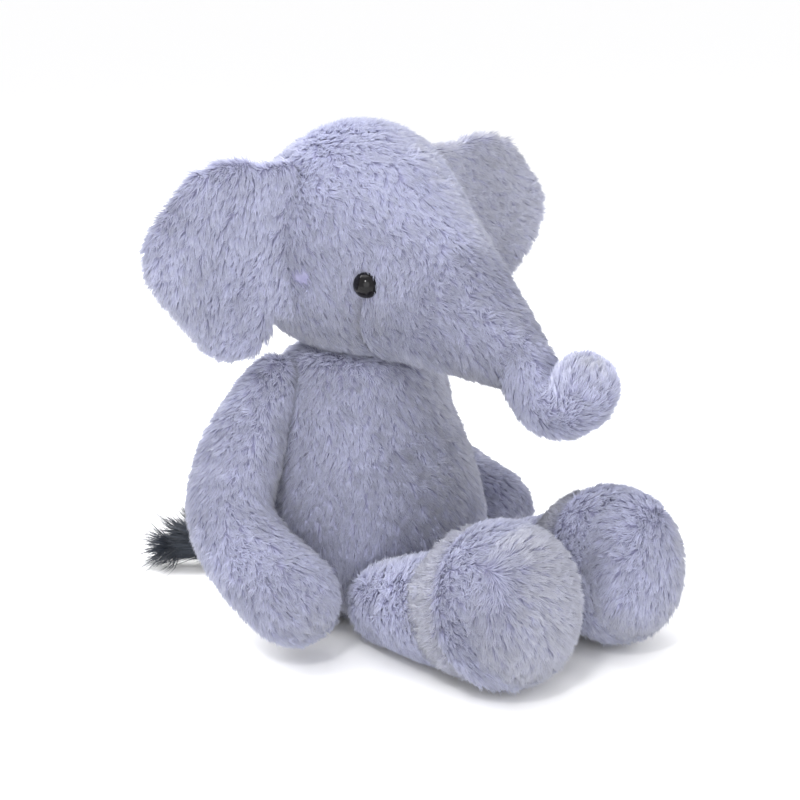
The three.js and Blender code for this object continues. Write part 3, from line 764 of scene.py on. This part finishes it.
foot_length = 66 * mm
foot_rise = 5.5 * mm
foot_outline = [(-35 * mm, 0), (-30.5 * mm, 17.5 * mm), (-17.5 * mm, 30.5 * mm), (0, 38 * mm),
                (13.2 * mm, 43.5 * mm), (29.7 * mm, 46.2 * mm), (49.5 * mm, 42.5 * mm), (59 * mm, 36 * mm),
                (65 * mm, 24 * mm), (67 * mm, 0)]
for side, side_name in ((-1, "right"), (1, "left")):
    way, upward = leg_frame(side)
    ankle = hip * (side, 1, 1) + way * leg_length
    foot_axis = [tuple(ankle + way * (a * foot_length) + upward * (b * foot_rise))
                 for a, b in ((0, 0), (0.2, 0.45), (0.45, 0.9), (0.7, 1), (1, 1))]
    foot = cloth_form(f"foot_plush_{side_name}", foot_axis, inset_outline(foot_outline, pile_height),
                      across=(0.94 - 0.06 * (side > 0), 1), around=48)
    foot_points = vertex_places(foot)
    foot_points[:, 2] = np.maximum(foot_points[:, 2], limb_cloth_floor)
    set_places(foot, foot_points)
    stuff(foot)
    foot.data.materials.append(backing)
    foot_part = ankle + way * 56 * mm + upward * 30 * mm + np.array([side * 26 * mm, 0, 0])

    def foot_lay(places, ankle=ankle, way=way, part=foot_part):
        """Back to the ankle behind the seam, and forward over the front from the top outer edge."""
        s = (places - ankle) @ way
        out = places - part
        out = out - np.outer(out @ way, way)
        out /= np.maximum(np.linalg.norm(out, axis=1), 1e-6)[:, None]
        front = smoothed(s, 16 * mm, 24 * mm)[:, None]
        face = smoothed(s, 36 * mm, 56 * mm)[:, None]
        return (way * (1 - face) + out * face) * front - way * 0.8 * (1 - front) + np.array([0, 0, -0.3])

    def foot_seam(places, ankle=ankle, way=way):
        s = (places - ankle) @ way
        return 0.4 * np.exp(-((s - 19 * mm) / (2.6 * mm)) ** 2)

    foot_moves = (f"leg_{side_name}", f"foot_{side_name}", tuple(ankle - way * 8 * mm),
                  tuple(ankle + way * 8 * mm))
    # The feet's pile is given a darker colour value: painted shade on the feet.
    cover(foot, foot_moves, foot_lay, seam=foot_seam, tone_and_painted_light=0.42)
    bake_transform(foot, *foot_moves[:2], start=foot_moves[2], end=foot_moves[3])
    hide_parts(f"foot_cover_{side_name}", f"foot_filling_{side_name}", f"sole_{side_name}")

# ---- pile ----
# The plush itself: short straight fibres knitted into the backing, which stand up, lean the way that
# they were brushed and cling together in small tufts. Their colour runs from dark at the root to pale
# at the tip: painted shade down among the fibres and painted light on their ends.

pile_fibre = bpy.data.materials.new("pile_fibre")
pile_fibre.use_nodes = True
fibre_nodes, fibre_links = pile_fibre.node_tree.nodes, pile_fibre.node_tree.links
fibre_shader = fibre_nodes["Principled BSDF"]
fibre_shader.inputs["Roughness"].default_value = 0.75
fibre_shader.inputs["Specular IOR Level"].default_value = 0.25
fibre_shader.inputs["Sheen Weight"].default_value = 0.4
fibre_map = fibre_nodes.new("ShaderNodeUVMap")
fibre_map.uv_map = "OFBake"
fibre_place = fibre_nodes.new("ShaderNodeSeparateXYZ")
fibre_links.new(fibre_map.outputs["UV"], fibre_place.inputs["Vector"])
# The ramp from root to tip paints shade at the roots and light at the tips.
fibre_painted_root_shade = fibre_nodes.new("ShaderNodeValToRGB")
fibre_stops = fibre_painted_root_shade.color_ramp
fibre_stops.elements[0].position = 0.0
fibre_stops.elements[0].color = (0.225, 0.228, 0.35, 1)
fibre_stops.elements[1].position = 1.0
fibre_stops.elements[1].color = (0.61, 0.635, 0.79, 1)
fibre_half = fibre_stops.elements.new(0.5)
fibre_half.color = (0.39, 0.40, 0.56, 1)
fibre_links.new(fibre_place.outputs["Y"], fibre_painted_root_shade.inputs["Fac"])
# Each fibre's colour value, which holds painted light and shade, sets its brightness.
fibre_brightness_with_painted_light = fibre_nodes.new("ShaderNodeMapRange")
fibre_brightness_with_painted_light.inputs["To Min"].default_value = 0.7
fibre_brightness_with_painted_light.inputs["To Max"].default_value = 1.26
fibre_links.new(fibre_place.outputs["X"], fibre_brightness_with_painted_light.inputs["Value"])
fibre_mix = fibre_nodes.new("ShaderNodeHueSaturation")
fibre_links.new(fibre_painted_root_shade.outputs["Color"], fibre_mix.inputs["Color"])
fibre_links.new(fibre_brightness_with_painted_light.outputs["Result"], fibre_mix.inputs["Value"])
fibre_links.new(fibre_mix.outputs["Color"], fibre_shader.inputs["Base Color"])


def fibre_tree():
    """Fibres over a cover. Each is a thin three-sided spike that leans and bends as its root says."""
    tree = bpy.data.node_groups.new("fibres_on_cover", "GeometryNodeTree")
    face = tree.interface

    def socket(name, kind, default=None):
        made = face.new_socket(name, in_out="INPUT", socket_type=kind)
        if default is not None:
            made.default_value = default

    socket("Cover", "NodeSocketGeometry")
    socket("Fibres per square metre", "NodeSocketFloat", 700000.0)
    socket("Length", "NodeSocketFloat", 0.009)
    socket("Root radius", "NodeSocketFloat", 0.0007)
    socket("Lift", "NodeSocketFloat", 0.6)
    socket("Spread", "NodeSocketFloat", 0.5)
    socket("Cling", "NodeSocketFloat", 0.6)
    socket("Tuft size", "NodeSocketFloat", 0.0032)
    socket("Tone and painted light", "NodeSocketFloat", 0.5)
    socket("Bend", "NodeSocketFloat", 0.25)
    socket("Sections", "NodeSocketInt", 2)
    socket("Seed", "NodeSocketInt", 0)
    socket("Fibre", "NodeSocketMaterial")
    face.new_socket("Fibres", in_out="OUTPUT", socket_type="NodeSocketGeometry")
    nodes, links = tree.nodes, tree.links
    given = nodes.new("NodeGroupInput")
    result = nodes.new("NodeGroupOutput")

    def put(value, target):
        if isinstance(value, (int, float, tuple)):
            target.default_value = value
        else:
            links.new(value, target)

    def number(operation, a, b=0.0, c=0.0):
        node = nodes.new("ShaderNodeMath")
        node.operation = operation
        for k, value in enumerate((a, b, c)):
            put(value, node.inputs[k])
        return node.outputs[0]

    def vector(operation, a, b=None, scale=None):
        node = nodes.new("ShaderNodeVectorMath")
        node.operation = operation
        put(a, node.inputs[0])
        if b is not None:
            put(b, node.inputs[1])
        if scale is not None:
            put(scale, node.inputs["Scale"])
        return node.outputs["Value"] if operation in ("DOT_PRODUCT", "LENGTH") else node.outputs["Vector"]

    def kept(name, kind="FLOAT"):
        node = nodes.new("GeometryNodeInputNamedAttribute")
        node.data_type = kind
        node.inputs["Name"].default_value = name
        return node.outputs["Attribute"]

    def keep(geometry, name, value, kind="FLOAT", domain="POINT"):
        node = nodes.new("GeometryNodeStoreNamedAttribute")
        node.data_type = kind
        node.domain = domain
        node.inputs["Name"].default_value = name
        links.new(geometry, node.inputs["Geometry"])
        links.new(value, node.inputs["Value"])
        return node.outputs["Geometry"]

    def chance(low, high, seed_step, kind="FLOAT"):
        node = nodes.new("FunctionNodeRandomValue")
        node.data_type = kind
        index = {"FLOAT": (2, 3, 1), "FLOAT_VECTOR": (0, 1, 0)}[kind]
        put(low, node.inputs[index[0]])
        put(high, node.inputs[index[1]])
        links.new(number("ADD", given.outputs["Seed"], float(seed_step)), node.inputs["Seed"])
        return node.outputs[index[2]]

    roots = nodes.new("GeometryNodeDistributePointsOnFaces")
    links.new(given.outputs["Cover"], roots.inputs["Mesh"])
    thick = number("MULTIPLY", given.outputs["Fibres per square metre"],
                   number("SUBTRACT", 1.0, kept("bare")))
    links.new(thick, roots.inputs["Density"])
    links.new(given.outputs["Seed"], roots.inputs["Seed"])
    normal = roots.outputs["Normal"]
    place = nodes.new("GeometryNodeInputPosition").outputs["Position"]

    lay = kept("lay", "FLOAT_VECTOR")
    lay = vector("SUBTRACT", lay, vector("SCALE", normal, scale=vector("DOT_PRODUCT", lay, normal)))
    lay = vector("NORMALIZE", lay)
    swirl = nodes.new("ShaderNodeTexNoise")
    swirl.inputs["Scale"].default_value = 24.0
    swirl.inputs["Detail"].default_value = 1.5
    links.new(place, swirl.inputs["Vector"])
    drift = vector("SCALE", vector("SUBTRACT", swirl.outputs["Color"], (0.5, 0.5, 0.5)), scale=1.5)
    tufts = nodes.new("ShaderNodeTexVoronoi")
    tufts.inputs["Randomness"].default_value = 1.0
    links.new(number("DIVIDE", 1.0, given.outputs["Tuft size"]), tufts.inputs["Scale"])
    links.new(place, tufts.inputs["Vector"])
    to_tuft = vector("SUBTRACT", tufts.outputs["Position"], place)
    to_tuft = vector("SUBTRACT", to_tuft, vector("SCALE", normal,
                                                 scale=vector("DOT_PRODUCT", to_tuft, normal)))
    tuft_chance = nodes.new("ShaderNodeSeparateXYZ")
    links.new(tufts.outputs["Color"], tuft_chance.inputs["Vector"])
    tuft_lean = vector("SCALE", vector("SUBTRACT", tufts.outputs["Color"], (0.5, 0.5, 0.5)), scale=0.9)
    loose = vector("SCALE", chance((-1.0, -1.0, -1.0), (1.0, 1.0, 1.0), 1, "FLOAT_VECTOR"),
                   scale=number("MULTIPLY", given.outputs["Spread"], 0.55))
    lean = vector("ADD", vector("ADD", vector("ADD", lay, drift), tuft_lean), loose)
    lean = vector("SUBTRACT", lean, vector("SCALE", normal, scale=vector("DOT_PRODUCT", lean, normal)))
    seam = kept("seam")
    rise = number("MULTIPLY", given.outputs["Lift"], number("ADD", 0.85, number("MULTIPLY", 0.3, chance(
        0.0, 1.0, 2))))
    flat = number("SQRT", number("MAXIMUM", number("SUBTRACT", 1.0, number("MULTIPLY", rise, rise)), 0.05))
    limp = vector("LENGTH", lean)
    lean = vector("SCALE", lean, scale=number("DIVIDE", flat, number("MAXIMUM", limp, 0.6)))
    lean = vector("NORMALIZE", vector("ADD", lean, vector("SCALE", normal, scale=rise)))
    reach = number("MULTIPLY", given.outputs["Length"], chance(0.78, 1.15, 3))
    reach = number("MULTIPLY", reach, number("ADD", 0.86, number("MULTIPLY", 0.28,
                                                                  tuft_chance.outputs["X"])))
    reach = number("MULTIPLY", reach, number("SUBTRACT", 1.0, number("MULTIPLY", seam, 0.55)))
    patch = nodes.new("ShaderNodeTexNoise")
    patch.inputs["Scale"].default_value = 17.0
    patch.inputs["Detail"].default_value = 2.0
    links.new(place, patch.inputs["Vector"])
    # Each fibre's colour value: that of its cover, with the cover's painted light and shade, then random
    # patches and tufts.
    shade = number("ADD", given.outputs["Tone and painted light"], kept("painted_light"))
    shade = number("ADD", shade, number("MULTIPLY", number(
        "SUBTRACT", patch.outputs["Fac"], 0.5), 1.5))
    shade = number("ADD", shade, number("MULTIPLY", number(
        "SUBTRACT", tuft_chance.outputs["Y"], 0.5), 0.45))
    shade = number("ADD", shade, chance(-0.18, 0.18, 4))
    # Seams are painted darker: painted shade in their valleys.
    shade = number("SUBTRACT", shade, number("MULTIPLY", seam, 0.45))
    shade = number("MINIMUM", number("MAXIMUM", shade, 0.03), 0.97)

    points = roots.outputs["Points"]
    points = keep(points, "root_place", place, "FLOAT_VECTOR")
    points = keep(points, "root_out", normal, "FLOAT_VECTOR")
    points = keep(points, "root_lean", lean, "FLOAT_VECTOR")
    points = keep(points, "root_lay", lay, "FLOAT_VECTOR")
    points = keep(points, "root_tuft", vector("SCALE", to_tuft, scale=given.outputs["Cling"]),
                  "FLOAT_VECTOR")
    points = keep(points, "root_reach", reach)
    points = keep(points, "root_shade", shade)

    spike = nodes.new("GeometryNodeMeshCone")
    spike.fill_type = "NONE"
    spike.inputs["Vertices"].default_value = 3
    spike.inputs["Radius Top"].default_value = 0.0
    spike.inputs["Radius Bottom"].default_value = 1.0
    spike.inputs["Depth"].default_value = 1.0
    links.new(given.outputs["Sections"], spike.inputs["Side Segments"])
    spike_mesh = keep(spike.outputs["Mesh"], "spike_place", place, "FLOAT_VECTOR")
    copies = nodes.new("GeometryNodeInstanceOnPoints")
    links.new(points, copies.inputs["Points"])
    links.new(spike_mesh, copies.inputs["Instance"])
    real = nodes.new("GeometryNodeRealizeInstances")
    links.new(copies.outputs["Instances"], real.inputs["Geometry"])

    part = nodes.new("ShaderNodeSeparateXYZ")
    links.new(kept("spike_place", "FLOAT_VECTOR"), part.inputs["Vector"])
    high = part.outputs["Z"]
    round_x = number("DIVIDE", part.outputs["X"], number("MAXIMUM", number("SUBTRACT", 1.0, high), 0.01))
    round_y = number("DIVIDE", part.outputs["Y"], number("MAXIMUM", number("SUBTRACT", 1.0, high), 0.01))
    high_squared = number("MULTIPLY", high, high)
    thin = number("MULTIPLY", given.outputs["Root radius"], number("SUBTRACT", 1.0, high_squared))
    way = kept("root_lean", "FLOAT_VECTOR")
    side_way = vector("NORMALIZE", vector("CROSS_PRODUCT", way, kept("root_out", "FLOAT_VECTOR")))
    other_way = vector("CROSS_PRODUCT", way, side_way)
    length_here = kept("root_reach")
    middle = vector("ADD", kept("root_place", "FLOAT_VECTOR"), vector("SCALE", way, scale=number(
        "MULTIPLY", length_here, high)))
    middle = vector("ADD", middle, vector("SCALE", kept("root_tuft", "FLOAT_VECTOR"), scale=number(
        "POWER", high, 1.4)))
    middle = vector("ADD", middle, vector("SCALE", kept("root_lay", "FLOAT_VECTOR"), scale=number(
        "MULTIPLY", number("MULTIPLY", length_here, given.outputs["Bend"]), high_squared)))
    width_way = vector("ADD", vector("SCALE", side_way, scale=round_x), vector(
        "SCALE", other_way, scale=round_y))
    spot = vector("ADD", middle, vector("SCALE", width_way, scale=thin))
    moved = nodes.new("GeometryNodeSetPosition")
    links.new(real.outputs["Geometry"], moved.inputs["Geometry"])
    links.new(spot, moved.inputs["Position"])
    smooth = nodes.new("GeometryNodeSetShadeSmooth")
    links.new(moved.outputs["Geometry"], smooth.inputs["Geometry"])
    across = number("ADD", number("MULTIPLY", part.outputs["X"], 0.8), number(
        "MULTIPLY", part.outputs["Y"], 0.6))
    table = nodes.new("ShaderNodeCombineXYZ")
    links.new(number("ADD", kept("root_shade"), number("MULTIPLY", across, 0.004)), table.inputs["X"])
    links.new(number("ADD", number("MULTIPLY", high, 0.96), 0.02), table.inputs["Y"])
    charted = keep(smooth.outputs["Geometry"], "OFBake", table.outputs["Vector"], "FLOAT2", "CORNER")
    dyed = nodes.new("GeometryNodeSetMaterial")
    links.new(charted, dyed.inputs["Geometry"])
    links.new(given.outputs["Fibre"], dyed.inputs["Material"])
    links.new(dyed.outputs["Geometry"], result.inputs["Fibres"])
    return tree


fibres_on_cover = fibre_tree()
fibres_per_square_metre = 2000000.0
fibre_radius = 0.42 * mm
fibre_lift = 0.46
fibre_spread = 0.5
fibre_cling = 0.5
tuft_size = 3.6 * mm


def grow(name, form, settings):
    """Runs the tree on a form and gives the fibres as a plain mesh object."""
    host = bpy.data.objects.new(name, form.data.copy())
    bpy.context.scene.collection.objects.link(host)
    grower = host.modifiers.new("fibres", "NODES")
    grower.node_group = fibres_on_cover
    sockets = {item.name: item.identifier for item in fibres_on_cover.interface.items_tree
               if item.item_type == "SOCKET" and item.in_out == "INPUT"}
    for socket_name, value in settings.items():
        grower[sockets[socket_name]] = value
    host.data.update()
    graph = bpy.context.evaluated_depsgraph_get()
    grown = bpy.data.meshes.new_from_object(host.evaluated_get(graph))
    host.modifiers.clear()
    host.data = grown
    made_on_the_way = ("root_", "spike_", "seam", "lay", "bare", "painted_light")
    for extra in [a.name for a in grown.attributes if a.name.startswith(made_on_the_way)]:
        grown.attributes.remove(grown.attributes[extra])
    places = vertex_places(host)
    low = places[:, 2] < 2 * mm
    places[low, 2] = np.maximum(2 * mm + (places[low, 2] - 2 * mm) * 0.16, 0.2 * mm)
    set_places(host, places)
    return host


def cover_inside(covers):
    """Pile that would grow inside a neighbour is left out."""
    trees = []
    for each in covers:
        mesh = each["form"].data
        trees.append(BVHTree.FromPolygons([v.co for v in mesh.vertices],
                                          [p.vertices for p in mesh.polygons]))
    for index, each in enumerate(covers):
        mesh = each["form"].data
        places = vertex_places(each["form"])
        bare = np.zeros(len(places), np.float32)
        mesh.attributes["bare"].data.foreach_get("value", bare)
        low, high = places.min(axis=0), places.max(axis=0)
        for other, tree in enumerate(trees):
            if other == index:
                continue
            other_places = vertex_places(covers[other]["form"])
            if np.any(other_places.min(axis=0) > high) or np.any(other_places.max(axis=0) < low):
                continue
            for k, place in enumerate(places):
                if bare[k] > 0.99:
                    continue
                near, out, _, gap = tree.find_nearest(Vector(place), 0.06)
                if near is not None and (Vector(place) - near).dot(out) < 0:
                    bare[k] = max(bare[k], float(smoothed(gap, 1.0 * mm, 3.5 * mm)))
        note(each["form"], "bare", bare)


cover_inside(all_covers)
for order, each in enumerate(all_covers):
    for layer in range(each["layers"]):
        pile = grow(f"{each['form'].name}_pile_{layer + 1}", each["form"], {
            "Fibres per square metre": fibres_per_square_metre / each["layers"],
            "Length": each["length"],
            "Root radius": fibre_radius,
            "Lift": fibre_lift,
            "Spread": fibre_spread,
            "Cling": fibre_cling,
            "Tuft size": tuft_size,
            "Tone and painted light": each["tone_and_painted_light"],
            "Bend": 0.0,
            "Sections": 1,
            "Seed": 7 + 5 * order + layer,
            "Fibre": pile_fibre,
        })

        follow(pile, each["moves"])

# ---- tail ----
# A short sewn stub of the body's plush, closed into the seat seam, with a brush of straight dark
# polyester hair knotted into its end.

hair_fibre = bpy.data.materials.new("tail_fibre")
hair_fibre.use_nodes = True
hair_nodes, hair_links = hair_fibre.node_tree.nodes, hair_fibre.node_tree.links
hair_shader = hair_nodes["Principled BSDF"]
hair_shader.inputs["Roughness"].default_value = 0.42
hair_map = hair_nodes.new("ShaderNodeUVMap")
hair_map.uv_map = "OFBake"
hair_place = hair_nodes.new("ShaderNodeSeparateXYZ")
hair_links.new(hair_map.outputs["UV"], hair_place.inputs["Vector"])
hair_shades = hair_nodes.new("ShaderNodeValToRGB")
hair_shades.color_ramp.elements[0].color = (0.010, 0.014, 0.022, 1)
hair_shades.color_ramp.elements[1].color = (0.085, 0.10, 0.13, 1)
hair_links.new(hair_place.outputs["X"], hair_shades.inputs["Fac"])
hair_links.new(hair_shades.outputs["Color"], hair_shader.inputs["Base Color"])

tail_root = np.array([0, 73, 17]) * mm
tail_turn = math.radians(52)
tail_way = np.array([-math.sin(tail_turn), math.cos(tail_turn), 0])
stub_axis = [tuple(tail_root - tail_way * 8 * mm), tuple(tail_root + tail_way * 16 * mm)]
stub = cloth_form("tail_stub_plush", stub_axis,
                  [(0, 0.1 * mm), (1 * mm, 4 * mm), (8 * mm, 5.6 * mm), (18 * mm, 5.2 * mm),
                   (23 * mm, 3 * mm), (24 * mm, 0.1 * mm)], around=24)
stub.data.materials.append(backing)
stub.data.polygons.foreach_set("use_smooth", [True] * len(stub.data.polygons))
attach(stub, "tail")
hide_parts("tail_stub")

hair_axis = [tuple(tail_root + tail_way * 6 * mm), tuple(tail_root + tail_way * 80 * mm)]
hair_bed = cloth_form("tail_hair_bed", hair_axis,
                      [(0, 0.1 * mm), (2 * mm, 5 * mm), (20 * mm, 7 * mm), (42 * mm, 6.5 * mm),
                       (58 * mm, 4 * mm), (68 * mm, 0.2 * mm)], around=24)
note(hair_bed, "lay", np.tile(tail_way, (len(hair_bed.data.vertices), 1)))
note(hair_bed, "seam", np.zeros(len(hair_bed.data.vertices)))
note(hair_bed, "bare", np.zeros(len(hair_bed.data.vertices)))
hair_bed.data.polygons.foreach_set("use_smooth", [True] * len(hair_bed.data.polygons))
tail_hair = grow("tail_brush", hair_bed, {
    "Fibres per square metre": 1300000.0,
    "Length": 29 * mm,
    "Root radius": 0.26 * mm,
    "Lift": 0.07,
    "Spread": 0.2,
    "Cling": 0.5,
    "Tuft size": 6 * mm,
    "Tone and painted light": 0.4,
    "Bend": 0.1,
    "Sections": 4,
    "Seed": 61,
    "Fibre": hair_fibre,
})

bpy.data.objects.remove(hair_bed)
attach(tail_hair, "tail")
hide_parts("tail_hair")
